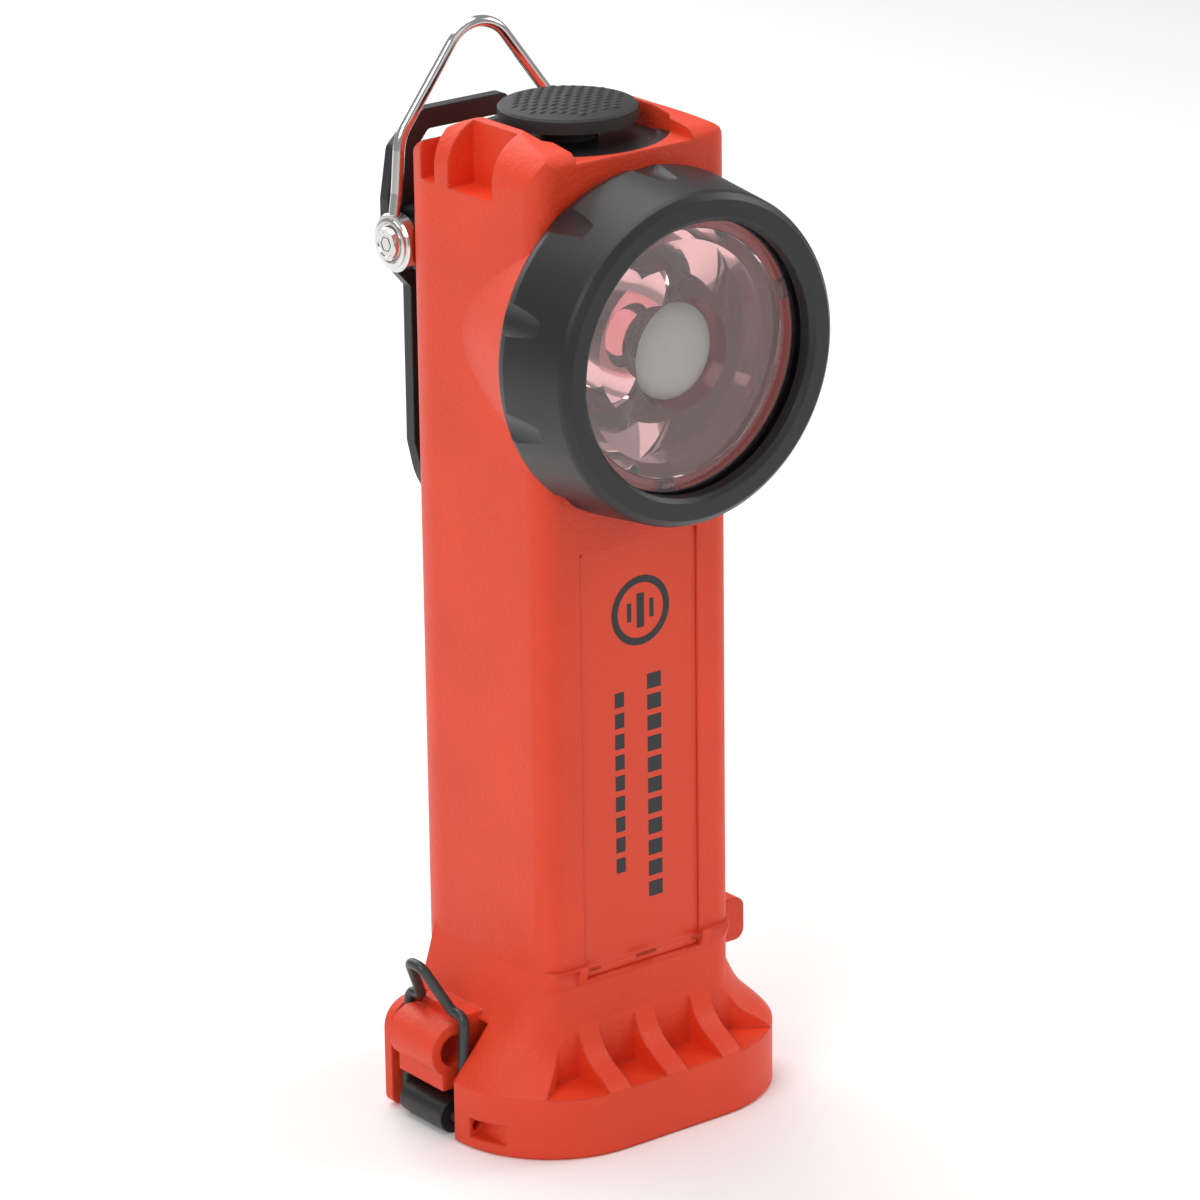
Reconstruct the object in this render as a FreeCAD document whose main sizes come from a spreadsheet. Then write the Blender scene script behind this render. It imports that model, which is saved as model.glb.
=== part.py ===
import FreeCAD, Part
import math
import os
import re
import Sketcher
from FreeCAD import Placement, Rotation, Vector

# Right-angle firefighter's light. Millimetres. +Z is up the body and Z = 0 is the foot's underside.
# The lens looks along -Y. X = 0 and Y = 0 are the middle of the body's section.

sizes = {
    # Body: a hollow moulded column, open at the bottom for the batteries.
    "body_width": 41.0,
    "body_depth": 42.0,
    "body_top": 177.0,
    "front_top": 175.1,
    "front_rim": 173.5,
    "crest_inner": 13.4,
    "channel_half": 12.2,
    "pocket_depth": 5.6,
    "pocket_floor": 165.9,
    "pocket_front": 9.0,
    "pocket_back": 3.2,
    "slot_front": 7.0,
    "slot_back": 11.0,
    "back_top": 166.0,
    "front_corner": 4.0,
    "back_corner": 12.0,
    "crest_round": 8.0,
    "crest_front": 8.0,
    "crest_back": 4.0,
    "crest_bend": 8.0,
    "back_bend": 9.0,
    "front_bend": 2.0,
    "shell_wall": 3.0,
    "bay_top": 111.0,
    "bay_corner": 5.0,
    "lip_wall": 1.6,
    "lip_thickness": 1.9,
    # Label recess on the front.
    "label_width": 25.0,
    "label_low": 29.0,
    "label_high": 106.0,
    "label_recess": 0.75,
    "label_thickness": 0.4,
    "label_corner": 1.2,
    # Foot.
    "foot_width": 64.4,
    "foot_front": 30.5,
    "foot_corner": 21.0,
    "foot_wall": 3.0,
    "rim_height": 11.3,
    "rim_chamfer": 0.5,
    "flare_height": 20.0,
    "flare_back": 12.0,
    "notch_front": 9.0,
    "notch_step": 3.0,
    "notch_top": 20.0,
    "rib_pitch": 12.2,
    "rib_thickness": 4.4,
    "pocket_skin": 0.2,
    "pocket_wall_inner": 18.8,
    "pocket_wall_outer": 24.7,
    "pocket_wall_front": 25.6,
    "cord_slot_out": 29.3,
    "cord_slot_back": 13.0,
    "cord_slot_low": 2.2,
    "cord_slot_height": 3.6,
    "cord_hole_radius": 0.85,
    "cord_hole_out": 30.4,
    # Head.
    "head_height": 141.6,
    "boss_back": 0.0,
    "boss_radius": 27.8,
    "neck_radius": 24.5,
    "neck_bore": 22.7,
    "neck_length": 11.3,
    "head_bore": 17.3,
    "head_bore_depth": 11.0,
    "bezel_radius": 28.5,
    "bezel_swell": 30.0,
    "bezel_opening": 23.4,
    "bezel_lip": 3.0,
    "bezel_gap": 0.1,
    "grip_count": 10,
    "grip_radius": 5.0,
    "grip_depth": 1.0,
    "grip_length": 9.5,
    "window_thickness": 2.0,
    "gasket_thickness": 1.2,
    "seal_radius": 23.2,
    # Button on top.
    "button_middle": -3.0,
    "well_radius": 17.0,
    "well_floor": 171.2,
    "button_radius": 11.8,
    "button_top": 179.6,
    "button_edge": 2.6,
    "button_dome": 1.2,
    "button_travel": 1.5,
    "collar_top": 173.2,
    "stem_radius": 5.0,
    "stem_clearance": 0.08,
    "stem_bottom": 167.8,
    "switch_top": 166.0,
    "switch_height": 6.5,
    # Batteries: four AA cells, two by two.
    "cell_radius": 7.1,
    "cell_length": 50.5,
    "cell_pitch": 15.5,
    "carrier_bottom": 14.0,
    "carrier_plate": 2.0,
    "carrier_web": 0.7,
    "contact_plate": 1.6,
    # Tail door and its hinge.
    "door_gap": 0.3,
    "swing_relief": 1.2,
    "swing_relief_height": 3.0,
    "door_bottom": 0.0,
    "door_top": 7.0,
    "hinge_out": 25.0,
    "hinge_height": 3.6,
    "hinge_pin_radius": 1.5,
    "hinge_clearance": 0.05,
    "knuckle_radius": 3.2,
    "knuckle_length": 6.0,
    "knuckle_gap": 0.3,
    "lug_length": 8.0,
    "toe_out": 26.4,
    "toe_half": 5.0,
    # Latch: wire bail over the catch barrel, with a bar under the door's toe.
    "latch_out": 30.0,
    "bar_height": 3.1,
    "bar_radius": 3.0,
    "bar_half": 6.0,
    "catch_height": 15.6,
    "catch_radius": 4.75,
    "catch_bore": 2.9,
    "catch_half": 6.4,
    "bail_wire": 0.95,
    "bail_half": 8.0,
    "bail_neck": 4.4,
    "tab_out": 4.3,
    "tab_half": 1.85,
    "tab_height": 8.4,
    "bail_pivot_out": 28.9,
    "bail_pivot_height": 22.0,
    "guard_front": 9.3,
    "guard_back": 11.3,
    # Clip and ring on the back.
    "pivot_back": 22.0,
    "pivot_height": 152.0,
    "pivot_radius": 1.5,
    "pivot_clearance": 0.06,
    "bracket_half": 14.2,
    "bracket_front": 17.7,
    "bracket_back": 25.0,
    "bracket_half_height": 5.5,
    "clip_front": 26.3,
    "clip_thickness": 2.3,
    "clip_ear_inner": 14.5,
    "clip_ear_outer": 16.4,
    "clip_ear_radius": 3.7,
    "clip_top": 172.8,
    "clip_tip": 101.0,
    "clip_bend": 114.0,
    "blade_half": 12.0,
    "eyelet_inner": 16.9,
    "eyelet_outer": 19.4,
    "eyelet_radius": 5.1,
    "ring_wire": 1.05,
    "ring_apex": 188.5,
    "ring_bend": 7.0,
    "ring_slope": 37.5,
    "ring_shoulder": 16.7,
    "relief_radius": 5.6,
}

doc = FreeCAD.newDocument("right_angle_light")
sheet = doc.addObject("Spreadsheet::Sheet", "Sizes")
for row, (alias, value) in enumerate(sizes.items(), start=1):
    sheet.set(f"A{row}", alias.replace("_", " "))
    sheet.set(f"B{row}", str(value))
    sheet.setAlias(f"B{row}", alias)
doc.recompute()

nodes = []


def full(expression):
    """Write an expression's size names the way other objects refer to the sheet."""
    def prefix(word):
        return "Sizes." + word.group() if word.group() in sizes else word.group()
    return re.sub(r"[a-z_]+", prefix, str(expression))


def measure(expression):
    value = sheet.evalExpression(full(expression))
    return float(getattr(value, "Value", value))


def bind(item, properties):
    for name, expression in properties.items():
        item.setExpression(name, full(expression))


def node(item, name):
    """Mark a finished piece: its label is its node's name."""
    item.Label = name
    nodes.append(item)
    return item


# Solids bound to the sheet.

def box(name, low, high):
    item = doc.addObject("Part::Box", name)
    bind(item, {
        "Length": f"({high[0]}) - ({low[0]})",
        "Width": f"({high[1]}) - ({low[1]})",
        "Height": f"({high[2]}) - ({low[2]})",
        "Placement.Base.x": low[0],
        "Placement.Base.y": low[1],
        "Placement.Base.z": low[2],
    })
    return item


turns = {
    "x": Rotation(Vector(0, 1, 0), 90),
    "y": Rotation(Vector(1, 0, 0), -90),
    "z": Rotation(),
}


def along(item, axis, start, across):
    """Place a solid of revolution so that it starts at start on the named axis."""
    item.Placement = Placement(Vector(), turns[axis])
    places = {
        "x": (start, across[0], across[1]),
        "y": (across[0], start, across[1]),
        "z": (across[0], across[1], start),
    }[axis]
    bind(item, {
        "Placement.Base.x": places[0],
        "Placement.Base.y": places[1],
        "Placement.Base.z": places[2],
    })


def cylinder(name, axis, radius, start, end, across=(0, 0)):
    item = doc.addObject("Part::Cylinder", name)
    bind(item, {"Radius": radius, "Height": f"({end}) - ({start})"})
    along(item, axis, start, across)
    return item


def cone(name, axis, radius_start, radius_end, start, end, across=(0, 0)):
    item = doc.addObject("Part::Cone", name)
    bind(item, {"Radius1": radius_start, "Radius2": radius_end, "Height": f"({end}) - ({start})"})
    along(item, axis, start, across)
    return item


def fuse(name, pieces):
    item = doc.addObject("Part::MultiFuse", name)
    item.Shapes = pieces
    return item


def cut(name, base, tools):
    item = doc.addObject("Part::Cut", name)
    item.Base = base
    item.Tool = tools[0] if len(tools) == 1 else fuse(name + "_cutters", tools)
    return item


def common(name, pieces):
    item = doc.addObject("Part::MultiCommon", name)
    item.Shapes = pieces
    return item


def group(name, pieces):
    item = doc.addObject("Part::Compound", name)
    item.Links = pieces
    return item


def sketch_on(body, name, role, offset):
    """A sketch on one of the body's own planes, moved along the plane's normal by offset."""
    sketch = body.newObject("Sketcher::SketchObject", name)
    plane = [item for item in body.Origin.OriginFeatures if item.Role == role][0]
    sketch.AttachmentSupport = [(plane, "")]
    sketch.MapMode = "FlatFace"
    bind(sketch, {"AttachmentOffset.Base.z": offset})
    return sketch


def outline(sketch, corners):
    """Draw a closed outline whose every corner is held by two dimensions from the sheet."""
    points = [Vector(measure(x), measure(y), 0) for x, y in corners]
    count = len(points)
    for index in range(count):
        sketch.addGeometry(Part.LineSegment(points[index], points[(index + 1) % count]))
    for index in range(count):
        following = (index + 1) % count
        sketch.addConstraint(Sketcher.Constraint("Coincident", index, 2, following, 1))
    for index, (x, y) in enumerate(corners):
        for kind, expression, value in (("DistanceX", x, points[index].x), ("DistanceY", y, points[index].y)):
            place = sketch.addConstraint(Sketcher.Constraint(kind, -1, 1, index, 1, value))
            sketch.setExpression(f"Constraints[{place}]", full(expression))


# Normal of each origin plane's sketches, as the axis and its sign.
normals = {"XY_Plane": ("z", 1), "XZ_Plane": ("y", -1), "YZ_Plane": ("x", 1)}


def prism(name, role, corners, low, high, rounds=()):
    """Pad an outline from low to high along the plane's axis, then round chosen corners.

    rounds holds pairs: a list of corner numbers and their radius.
    """
    body = doc.addObject("PartDesign::Body", name)
    sign = normals[role][1]
    start = low if sign > 0 else f"-({high})"
    sketch = sketch_on(body, name + "_sketch", role, start)
    outline(sketch, corners)
    pad = body.newObject("PartDesign::Pad", name + "_pad")
    pad.Profile = sketch
    bind(pad, {"Length": f"({high}) - ({low})"})
    sketch.Visibility = False
    doc.recompute()
    feature = pad
    for step, (numbers, radius) in enumerate(rounds):
        wanted = [(measure(corners[number][0]), measure(corners[number][1])) for number in numbers]
        fillet = body.newObject("PartDesign::Fillet", f"{name}_round_{step}")
        fillet.Base = (feature, corner_edges(feature.Shape, role, wanted))
        bind(fillet, {"Radius": radius})
        doc.recompute()
        feature = fillet
    return body


def corner_edges(shape, role, wanted):
    """Names of the straight edges that run along the pad's direction at the wanted corners."""
    pick = {"XY_Plane": (0, 1, 2), "XZ_Plane": (0, 2, 1), "YZ_Plane": (1, 2, 0)}[role]
    names = []
    for number, edge in enumerate(shape.Edges, start=1):
        if len(edge.Vertexes) != 2:
            continue
        first, last = (vertex.Point for vertex in edge.Vertexes)
        if abs(first[pick[0]] - last[pick[0]]) > 1e-4 or abs(first[pick[1]] - last[pick[1]]) > 1e-4:
            continue
        for x, y in wanted:
            if abs(first[pick[0]] - x) < 1e-3 and abs(first[pick[1]] - y) < 1e-3:
                names.append(f"Edge{number}")
    return names


def turned(name, role, offset, corners, axis="V_Axis"):
    """Turn a half outline about one of its sketch's axes."""
    body = doc.addObject("PartDesign::Body", name)
    sketch = sketch_on(body, name + "_sketch", role, offset)
    outline(sketch, corners)
    revolution = body.newObject("PartDesign::Revolution", name + "_turn")
    revolution.Profile = sketch
    revolution.ReferenceAxis = (sketch, [axis])
    revolution.Angle = 360.0
    sketch.Visibility = False
    doc.recompute()
    return body


def about_lens(name, corners):
    """Turn an outline of radius and Y about the lens axis."""
    return turned(name, "XY_Plane", "head_height", corners)


def about_button(name, corners):
    """Turn an outline of radius and Z about the button's axis."""
    return turned(name, "XZ_Plane", "-(button_middle)", corners)


def bent_wire(points, bends, radius):
    """A round wire along straight runs joined by tangent arcs, one bend radius per inner point."""
    edges = []
    start = points[0]
    for before, corner, after, bend in zip(points, points[1:], points[2:], bends):
        back = (before - corner).normalize()
        on = (after - corner).normalize()
        half = back.getAngle(on) / 2
        reach = bend / math.tan(half)
        first = corner + back * reach
        last = corner + on * reach
        bisector = (back + on).normalize()
        middle = corner + bisector * (bend / math.sin(half) - bend)
        edges.append(Part.LineSegment(start, first).toShape())
        edges.append(Part.Arc(first, middle, last).toShape())
        start = last
    edges.append(Part.LineSegment(start, points[-1]).toShape())
    path = Part.Wire(edges)
    section = Part.Wire([Part.makeCircle(radius, points[0], points[1] - points[0])])
    return path.makePipeShell([section], True, True)


def shaped(name, shape, place=Vector(), turn=Rotation()):
    item = doc.addObject("Part::Feature", name)
    item.Shape = shape
    item.Placement = Placement(place, turn)
    return item


# Body shell: column, foot, flare, head boss, neck, latch catch and hinge lug in one moulding.

half_width = "body_width / 2"
half_depth = "body_depth / 2"


def column():
    plan = prism("column_plan", "XY_Plane", [
        (f"-{half_width}", f"-{half_depth}"),
        (half_width, f"-{half_depth}"),
        (half_width, half_depth),
        (f"-{half_width}", half_depth),
    ], "0", "body_top", [([0, 1], "front_corner"), ([2, 3], "back_corner")])
    side = prism("column_side", "YZ_Plane", [
        (f"-{half_depth}", "0"),
        (half_depth, "0"),
        (half_depth, "back_top"),
        ("crest_back", "body_top"),
        ("-crest_front", "body_top"),
        (f"-{half_depth}", "front_top"),
    ], f"-{half_width}", half_width, [([2], "back_bend"), ([3, 4], "crest_bend"), ([5], "front_bend")])
    front = prism("column_front", "XZ_Plane", [
        (f"-{half_width}", "0"),
        (half_width, "0"),
        (half_width, "body_top"),
        (f"-{half_width}", "body_top"),
    ], f"-{half_depth}", half_depth, [([2, 3], "crest_round")])
    return common("column", [plan, side, front])


def foot_wire(half, front, radius, height):
    """A foot outline: flat back and flanks, with round corners in front."""
    back = measure("flare_back")
    corner = radius * (1 - math.sqrt(0.5))
    edges = [
        Part.LineSegment(Vector(-half, back, height), Vector(-half, front + radius, height)),
        Part.Arc(Vector(-half, front + radius, height), Vector(-half + corner, front + corner, height),
                 Vector(-half + radius, front, height)),
        Part.LineSegment(Vector(-half + radius, front, height), Vector(half - radius, front, height)),
        Part.Arc(Vector(half - radius, front, height), Vector(half - corner, front + corner, height),
                 Vector(half, front + radius, height)),
        Part.LineSegment(Vector(half, front + radius, height), Vector(half, back, height)),
        Part.LineSegment(Vector(half, back, height), Vector(-half, back, height)),
    ]
    return Part.Wire([edge.toShape() for edge in edges])


def foot_section(side, front, height):
    """A section of the foot: side and front are the shares of its overhang reached there."""
    side_overhang = measure("(foot_width - body_width) / 2")
    front_overhang = measure("foot_front - body_depth / 2")
    radius = measure("front_corner") + side * measure("foot_corner - front_corner")
    return foot_wire(measure(half_width) + side * side_overhang,
                     -measure(half_depth) - front * front_overhang, radius, height)


# The flare's hollow curve: share of the side overhang, of the front overhang, and of the flare's height.
flare_curve = [
    (1.0, 1.0, 0.0), (0.95, 0.92, 0.035), (0.87, 0.72, 0.09), (0.77, 0.46, 0.155),
    (0.52, 0.13, 0.32), (0.28, -0.02, 0.5), (0.1, -0.06, 0.76), (-0.04, -0.06, 1.0),
]


def foot():
    """Rim and flare, hollow underneath round the column's end."""
    rim_top = measure("rim_height")
    rise = measure("flare_height")
    chamfer = measure("rim_chamfer")
    sections = [foot_section(side, front, rim_top + rise * share) for side, front, share in flare_curve]
    flare = shaped("flare", Part.makeLoft(sections, True, False))
    whole = foot_section(1.0, 1.0, chamfer)
    narrow = foot_wire(measure("foot_width / 2") - chamfer, chamfer - measure("foot_front"),
                       measure("foot_corner") - chamfer, 0.0)
    edge = shaped("rim_edge", Part.makeLoft([narrow, whole], True, True))
    rim = shaped("rim", Part.Face(whole).extrude(Vector(0, 0, rim_top - chamfer)))
    wall = measure("foot_wall")
    inner = foot_wire(measure("foot_width / 2") - wall, wall - measure("foot_front"),
                      measure("foot_corner") - wall, -1.0)
    space = shaped("foot_space", Part.Face(inner).extrude(Vector(0, 0, rim_top - wall + 1)))
    hollow = cut("foot_hollow", space, [
        box("column_keep", (f"-{half_width}", f"-{half_depth}", "-2"), (half_width, "60", "30")),
        box("notch_keep", ("-60", "-notch_front - notch_step - foot_wall", "-2"), ("60", "60", "30")),
    ])
    return cut("foot_open", fuse("foot_outer", [edge, rim, flare]), [hollow])


def rib_pockets():
    """The openings between the three ribs on the front flare: two between ribs, one outside each."""
    skin = f"-{half_depth} - pocket_skin"
    past = "-foot_front - 1"
    outer_start = "rib_pitch + rib_thickness / 2"
    wall_end = "pocket_wall_inner + 2 * (pocket_wall_outer - pocket_wall_inner)"
    wall_front = f"-{half_depth} - 2 * (pocket_wall_front - {half_depth})"
    pockets = []
    for side, sign in (("right", ""), ("left", "-")):
        near, far = f"{sign}(rib_thickness / 2)", f"{sign}(rib_pitch - rib_thickness / 2)"
        low, high = (near, far) if sign == "" else (far, near)
        pockets.append(box(f"rib_pocket_{side}", (low, past, "rim_height"),
                           (high, skin, "rim_height + flare_height")))
        pockets.append(prism(f"corner_pocket_{side}", "XY_Plane", [
            (f"{sign}({outer_start})", past),
            (f"{sign}({outer_start})", skin),
            (f"{sign}pocket_wall_inner", skin),
            (f"{sign}({wall_end})", wall_front),
            (f"{sign}({wall_end})", past),
        ], "rim_height", "rim_height + flare_height"))
    return pockets


def catch():
    """Latch catch on the left flank: barrel with a hole, its bridge, a keeper rib and a guard behind."""
    return [
        cylinder("catch_barrel", "y", "catch_radius", "-catch_half", "catch_half", ("-latch_out", "catch_height")),
        box("catch_bridge", ("-latch_out - 2.6", "-catch_half", "catch_height - 7"),
            (f"-{half_width} + 1", "catch_half", "catch_height + 4")),
        box("catch_keeper", ("-bail_pivot_out + 1.3", "-catch_half", "catch_height"),
            (f"-{half_width} + 1", "catch_half", "bail_pivot_height - 0.6")),
        prism("guard", "XZ_Plane", [
            ("-foot_width / 2", "0.4"), ("-foot_width / 2 + 3.4", "0.4"),
            (f"-{half_width} + 1", "9"), (f"-{half_width} + 1", "catch_height + 4"),
            ("-foot_width / 2", "catch_height + 4"),
        ], "guard_front", "guard_back", [([0, 1], "1.6"), ([4], "5")]),
    ]


def body_shell():
    head = ("0", "head_height")
    solid = fuse("body_solid", [
        column(),
        cut("foot_cut", foot(), rib_pockets() + [
            box("latch_notch", ("-foot_width", "-notch_front", "-1"), (f"-{half_width}", "flare_back + 1", "notch_top")),
            box("hinge_notch", (half_width, "-notch_front - notch_step", "-1"),
                ("foot_width", "flare_back + 1", "notch_top")),
            box("cord_slot", ("-foot_width", "-foot_front", "cord_slot_low"),
                ("-cord_slot_out", "-cord_slot_back", "cord_slot_low + cord_slot_height")),
            cylinder("cord_hole", "y", "cord_hole_radius", "-cord_slot_back - 1", "-notch_front + 1",
                     ("-cord_hole_out", "cord_slot_low + cord_slot_height / 2")),
        ]),
        cone("head_boss", "y", "boss_radius", f"{half_width}", f"-{half_depth}", "-boss_back", head),
        cylinder("neck", "y", "neck_radius", f"-{half_depth} - neck_length", f"-{half_depth} + 4", head),
        cylinder("hinge_lug", "y", "knuckle_radius", "-lug_length / 2", "lug_length / 2",
                 ("hinge_out", "hinge_height")),
        box("hinge_web", (f"{half_width} - 1", "-lug_length / 2", "hinge_height - knuckle_radius + 0.4"),
            ("hinge_out", "lug_length / 2", "hinge_height + knuckle_radius")),
        prism("flank_lug", "XZ_Plane", [
            (f"{half_width} - 1", "23.5"), (f"{half_width} + 8", "23.5"),
            (f"{half_width} + 8", "31.5"), (f"{half_width} - 1", "31.5"),
        ], "-13.5", "-6.5", [([1, 2], "2")]),
    ] + catch())
    bay_half_width = f"{half_width} - shell_wall"
    bay_half_depth = f"{half_depth} - shell_wall"
    bay = prism("battery_bay", "XY_Plane", [
        (f"-({bay_half_width})", f"-({bay_half_depth})"),
        (bay_half_width, f"-({bay_half_depth})"),
        (bay_half_width, bay_half_depth),
        (f"-({bay_half_width})", bay_half_depth),
    ], "door_top + 0.6 + lip_thickness", "bay_top", [([0, 1, 2, 3], "bay_corner")])
    mouth = prism("battery_mouth", "XY_Plane", [
        (f"-({bay_half_width} - lip_wall)", f"-({bay_half_depth} - lip_wall)"),
        (f"{bay_half_width} - lip_wall", f"-({bay_half_depth} - lip_wall)"),
        (f"{bay_half_width} - lip_wall", f"{bay_half_depth} - lip_wall"),
        (f"-({bay_half_width} - lip_wall)", f"{bay_half_depth} - lip_wall"),
    ], "0", "20", [([0, 1, 2, 3], "bay_corner - lip_wall")])
    seat = prism("door_seat", "XY_Plane", [
        (f"-({bay_half_width})", f"-({bay_half_depth})"),
        (bay_half_width, f"-({bay_half_depth})"),
        (bay_half_width, bay_half_depth),
        (f"-({bay_half_width})", bay_half_depth),
    ], "-1", "door_top + 0.6", [([0, 1, 2, 3], "bay_corner")])
    wide = 60
    cutters = [
        bay,
        mouth,
        seat,
        cylinder("neck_hole", "y", "neck_bore", "-60", f"-{half_depth} + 2", head),
        cylinder("head_hole", "y", "head_bore", "-60", "head_bore_depth", head),
        common("button_well", [
            cylinder("well_round", "z", "well_radius", "well_floor", "200", ("0", "button_middle")),
            box("well_sides", ("-crest_inner", "-50", "0"), ("crest_inner", "50", "300")),
        ]),
        box("front_channel", ("-channel_half", "-50", "front_rim"), ("channel_half", "button_middle", "200")),
        prism("swing_relief", "XY_Plane", [
            ("0", f"-({bay_half_depth})"),
            (f"{bay_half_width} + swing_relief", f"-({bay_half_depth})"),
            (f"{bay_half_width} + swing_relief", bay_half_depth),
            ("0", bay_half_depth),
        ], "-1", "swing_relief_height", [([1, 2], "bay_corner")]),
        box("switch_room", ("-9", "-12", "head_height"), ("9", "6", "well_floor")),
        box("wire_duct", ("-4", "0", "bay_top - 1"), ("4", "10", "head_height - 5")),
        box("toe_notch", (f"-{half_width} - 2", "-toe_half - 0.5", "-1"),
            (f"-{half_width} + shell_wall + 1", "toe_half + 0.5", "6")),
        box("label_recess", ("-label_width / 2", f"-{half_depth} - 1", "label_low"),
            ("label_width / 2", f"-{half_depth} + label_recess", "label_high")),
        box("bracket_recess", ("-bracket_half - 0.2", "bracket_front - 0.1", "pivot_height - bracket_half_height - 0.2"),
            ("bracket_half + 0.2", f"{half_depth} + 1", "pivot_height + bracket_half_height + 0.2")),
        cylinder("catch_hole", "y", "catch_bore", "-catch_half - 1", "catch_half + 1", ("-latch_out", "catch_height")),
        cylinder("hinge_hole", "y", "hinge_pin_radius", "-lug_length", "lug_length", ("hinge_out", "hinge_height")),
    ]
    for side, sign in (("right", 1), ("left", -1)):
        low, high = ("bracket_half + 0.1", str(wide)) if sign > 0 else (str(-wide), "-bracket_half - 0.1")
        cutters.append(cylinder(f"pivot_relief_{side}", "x", "relief_radius", low, high, ("pivot_back", "pivot_height")))
        knuckle_start = "lug_length / 2" if sign > 0 else "-lug_length / 2 - knuckle_length - 2 * knuckle_gap"
        cutters.append(box(f"knuckle_notch_{side}", (f"{half_width} - shell_wall - 1", knuckle_start, "-1"),
                           ("hinge_out + 8", f"{knuckle_start} + knuckle_length + 2 * knuckle_gap", "7.4")))
        depth = f"{half_width} - pocket_depth"
        near, far = (depth, "40") if sign > 0 else ("-40", f"-({depth})")
        cutters.append(box(f"crest_pocket_{side}", (near, "-pocket_front", "pocket_floor"),
                           (far, "pocket_back", "200")))
        cutters.append(box(f"crest_slot_{side}", (near, "slot_front", "pocket_floor"), (far, "slot_back", "200")))
    return node(cut("body_shell", solid, cutters), "body_shell")



# Front: label plate, bezel, window, seal, lens and what holds and lights it.

lens_face = f"-{half_depth} - neck_length"


def front_label():
    plate = prism("front_label", "XZ_Plane", [
        ("-label_width / 2 + 0.1", "label_low + 0.1"),
        ("label_width / 2 - 0.1", "label_low + 0.1"),
        ("label_width / 2 - 0.1", "label_high - 0.1"),
        ("-label_width / 2 + 0.1", "label_high - 0.1"),
    ], f"-{half_depth} + label_recess - label_thickness", f"-{half_depth} + label_recess",
        [([0, 1, 2, 3], "label_corner")])
    return node(plate, "front_label")


def bezel_ring():
    """Screwed ring with finger scallops round its rear part."""
    front = f"{lens_face} - gasket_thickness - window_thickness - bezel_lip"
    seat = f"{lens_face} - gasket_thickness - window_thickness"
    rear = f"-{half_depth} - bezel_gap"
    ring = about_lens("bezel_blank", [
        ("neck_radius + bezel_gap", rear),
        ("bezel_radius + 0.3", rear),
        ("bezel_swell - 0.2", f"{rear} - 1.6"),
        ("bezel_swell", f"{rear} - 2.8"),
        ("bezel_radius", f"{front} + 1.7"),
        ("bezel_radius - 0.3", f"{front} + 1"),
        ("bezel_radius - 1.4", front),
        ("bezel_opening + 0.8", front),
        ("bezel_opening", f"{front} + 0.8"),
        ("bezel_opening", seat),
        ("neck_radius + bezel_gap", seat),
    ])
    grips = []
    for number in range(int(measure("grip_count"))):
        turn = 360.0 / measure("grip_count") * (number + 0.5)
        grip = cylinder(f"bezel_grip_{number}", "y", "grip_radius", f"{rear} - grip_length", f"{rear} + 1",
                        (f"(bezel_swell - grip_depth + grip_radius) * cos({turn})",
                         f"head_height + (bezel_swell - grip_depth + grip_radius) * sin({turn})"))
        grips.append(grip)
    return node(cut("bezel_ring", ring, grips), "bezel_ring")


def window():
    disc = about_lens("window", [
        ("0", f"{lens_face} - gasket_thickness"),
        ("0", f"{lens_face} - gasket_thickness - window_thickness"),
        ("neck_radius - 0.2", f"{lens_face} - gasket_thickness - window_thickness"),
        ("neck_radius - 0.2", f"{lens_face} - gasket_thickness"),
    ])
    return node(disc, "window")


def window_gasket():
    ring = about_lens("window_gasket", [
        ("seal_radius", lens_face),
        ("seal_radius", f"{lens_face} - gasket_thickness"),
        ("neck_radius - 0.2", f"{lens_face} - gasket_thickness"),
        ("neck_radius - 0.2", lens_face),
    ])
    return node(ring, "window_gasket")


def optic():
    """Moulded lens: a cone that gathers the light, with a well over the emitter and a small front dome."""
    front = f"{lens_face} + 0.2"
    lens = about_lens("optic", [
        ("0", f"{front} + 6.4"),
        ("4.6", f"{front} + 7.2"),
        ("5.2", f"{front} + 13.6"),
        ("6.4", f"{front} + 13.6"),
        ("13", f"{front} + 9.4"),
        ("19", f"{front} + 3.2"),
        ("neck_bore - 1.5", f"{front} + 1.6"),
        ("neck_bore - 1.5", front),
        ("9.6", front),
        ("8.6", f"{front} + 3.4"),
        ("8", f"{front} + 3.4"),
        ("5", f"{front} + 2"),
        ("0", f"{front} + 1.4"),
    ])
    return node(lens, "optic")


def optic_holder():
    """Cup that centres the lens over the emitter."""
    front = f"{lens_face} + 0.2"
    step = f"-{half_depth} + 2"
    cup = about_lens("optic_holder", [
        ("neck_bore - 1.3", front),
        ("neck_bore - 0.1", front),
        ("neck_bore - 0.1", f"{step} - 0.2"),
        ("head_bore - 0.2", f"{step} - 0.2"),
        ("head_bore - 0.2", "-15.2"),
        ("8.4", "-15.2"),
        ("8.4", "-17.2"),
        ("14.6", "-20.2"),
        ("20", f"{front} + 5.4"),
        ("neck_bore - 1.3", f"{front} + 2.6"),
    ])
    return node(cup, "optic_holder")


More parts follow.
